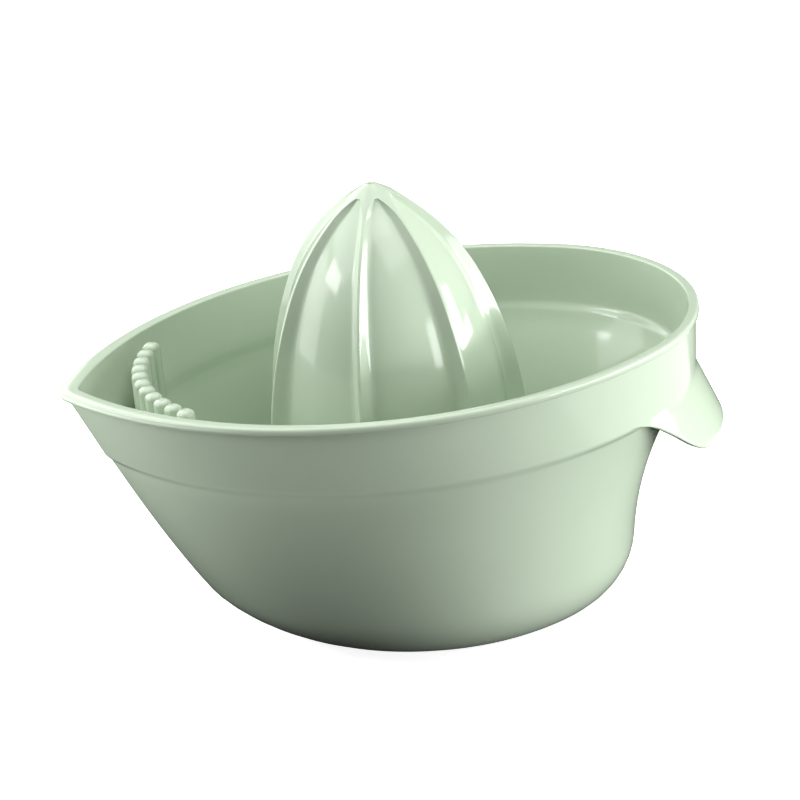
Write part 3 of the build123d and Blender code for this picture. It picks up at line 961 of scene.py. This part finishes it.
softRing = {
    "deep": (0.30, 0.36, 0.285, 1),
    "pale": (0.37, 0.435, 0.35, 1),
    "grainScale": 900.0,
    "grainDetail": 4.0,
    "roughness": 0.62,
    "roughnessSpread": 0.2,
    "grip": 0.25,
    "gripDepth": 0.0002,
}


def makeSoft():        # matt rubbery ring
    finish, shader, wire = newFinish("ring_rubber")
    place = wire.node("ShaderNodeTexCoord", {}, {}, "Object")
    grain = place.noise(softRing["grainScale"], softRing["grainDetail"])
    feed(shader, "Base Color", grain.blend(softRing["deep"], softRing["pale"]))
    feed(shader, "Roughness", grain * softRing["roughnessSpread"] + softRing["roughness"])
    sizes = {"Strength": softRing["grip"], "Distance": softRing["gripDepth"], "Height": grain}
    feed(shader, "Normal", wire.node("ShaderNodeBump", {}, sizes))
    return finish


# Studio: floor, light and camera

studio = {
    "floorRadius": 3.0,
    "floorDrop": 0.0002,
    "floorColumns": 96,
    "floorWeld": 0.0001,
    "floorColour": (0.9, 0.9, 0.9, 1),
    "floorRoughness": 0.9,
    "floorGlow": 0.85,
    "glowColour": (1, 1, 1, 1),
    "cove": 0.8,
    "coveRows": 12,
    "wallTop": 3.0,
    "worldColour": (1.0, 1.0, 1.0, 1),
    "worldStrength": 0.01,
    "middle": (0, 0, 0.06),
    "camera": {
        "azimuth": -11.574, "elevation": 26.041, "roll": 5.614, "distance": 1.0738, "yaw": 0.13,
        "pitch": -3.09, "lens": 168.67, "sensor": 36.0, "near": 0.05,
    },
    "lights": [        # name, azimuth (0 is the near side, 90 the flap's), elevation, distance, size, watts
        ("right_panel", 62, 2, 1.0, (0.9, 0.5), 10.0),
        ("low_strip", 63, -1, 0.8, (1.1, 0.09), 3.0),
        ("left_panel", -124, 10, 1.0, (1.2, 0.7), 6.5),
        ("upper_left", -100, 55, 1.0, (1.0, 0.7), 4.4),
        ("back_left", -162, 32, 1.0, (0.6, 0.5), 2.5),
        ("back_top", 168, 60, 1.0, (0.6, 0.5), 2.0),
        ("overhead", 0, 88, 1.0, (0.8, 0.8), 3.2),
        ("upper_right", 33, 65, 1.0, (0.7, 0.7), 3.0),
        ("softbox", -90, 31, 1.0, (0.40, 0.18), 2.0),
    ],
    "cards": [        # name, place, size, watts; they lie on the table and throw light up
        ("right_card", (0.31, -0.18, 0.004), (0.34, 0.50), 0.6),
        ("left_card", (-0.36, 0.02, 0.004), (0.30, 0.40), 2.0),
    ],
}


def facing(azimuth, elevation):        # unit vector from the middle outwards
    azimuth, elevation = radians(azimuth), radians(elevation)
    return Vector((sin(azimuth) * cos(elevation), -cos(azimuth) * cos(elevation), sin(elevation)))


def makeFloor():
    bm = bmesh.new()
    radius, cove, floorLevel = studio["floorRadius"], studio["cove"], -studio["floorDrop"]
    profile = [(0, floorLevel), (radius - cove, floorLevel)]
    for share in steps(studio["coveRows"]):        # the floor turns up into a plain wall all round
        turn = pi / 2 * share
        profile.append((radius - cove + cove * sin(turn), floorLevel + cove * (1 - cos(turn))))
    profile.append((radius, studio["wallTop"]))
    lathe(bm, profile, studio["floorColumns"], False)
    bmesh.ops.remove_doubles(bm, verts=bm.verts, dist=studio["floorWeld"])
    bmesh.ops.recalc_face_normals(bm, faces=bm.faces)
    mesh = bpy.data.meshes.new("studio_floor")
    bm.to_mesh(mesh)
    bm.free()
    floor = bpy.data.objects.new("studio_floor", mesh)
    scene.collection.objects.link(floor)
    finish, shader = newFinish("floor_white")[:2]
    shader.inputs["Base Color"].default_value = studio["floorColour"]
    shader.inputs["Roughness"].default_value = studio["floorRoughness"]
    shader.inputs["Emission Color"].default_value = studio["glowColour"]
    shader.inputs["Emission Strength"].default_value = studio["floorGlow"]
    mesh.materials.append(finish)
    floor.visible_diffuse = False        # the pale floor doesn't light or mirror in the plastic
    floor.visible_glossy = False
    floor.visible_shadow = False


def makeLights():
    world = bpy.data.worlds.new("studio_world")
    world.use_nodes = True
    background = world.node_tree.nodes["Background"]
    background.inputs["Color"].default_value = studio["worldColour"]
    background.inputs["Strength"].default_value = studio["worldStrength"]
    scene.world = world
    for name, azimuth, elevation, distance, size, power in studio["lights"]:
        outwards = facing(azimuth, elevation)
        addLight(name, size, power, Vector(studio["middle"]) + outwards * distance, -outwards)
    for name, place, size, power in studio["cards"]:
        addLight(name, size, power, place, Vector((0, 0, 1)))


def addLight(name, size, power, place, direction):
    lamp = bpy.data.lights.new(name, "AREA")
    lamp.shape = "RECTANGLE"
    lamp.size, lamp.size_y = size
    lamp.energy = power
    light = bpy.data.objects.new(name, lamp)
    light.location = place
    light.rotation_euler = direction.to_track_quat("-Z", "Y").to_euler()
    scene.collection.objects.link(light)


def makeCamera():
    view = studio["camera"]
    back = facing(view["azimuth"], view["elevation"])
    right = facing(view["azimuth"] + 90, 0)
    level = Matrix((right, back.cross(right), back))
    turned = Matrix.Rotation(radians(view["roll"]), 3, "Z")
    turned = turned @ Matrix.Rotation(radians(view["pitch"]), 3, "X")
    turned = turned @ Matrix.Rotation(radians(view["yaw"]), 3, "Y") @ level
    lens = bpy.data.cameras.new("photo_camera")
    lens.lens = view["lens"]
    lens.sensor_width = view["sensor"]
    lens.clip_start = view["near"]
    camera = bpy.data.objects.new("photo_camera", lens)
    camera.matrix_world = Matrix.Translation(back * view["distance"]) @ turned.transposed().to_4x4()
    scene.collection.objects.link(camera)
    scene.camera = camera


sagePlastic = makeSage()
for piece in (makeBowl(), makeReamer(), makeStrainer()):
    piece.data.materials.clear()
    piece.data.materials.append(sagePlastic)
makeFootRing().data.materials.append(makeSoft())
print("pieces and finishes done")

makeFloor()
makeLights()
makeCamera()
scene.view_settings.view_transform = "Standard"
print("studio done")

bpy.context.view_layer.update()
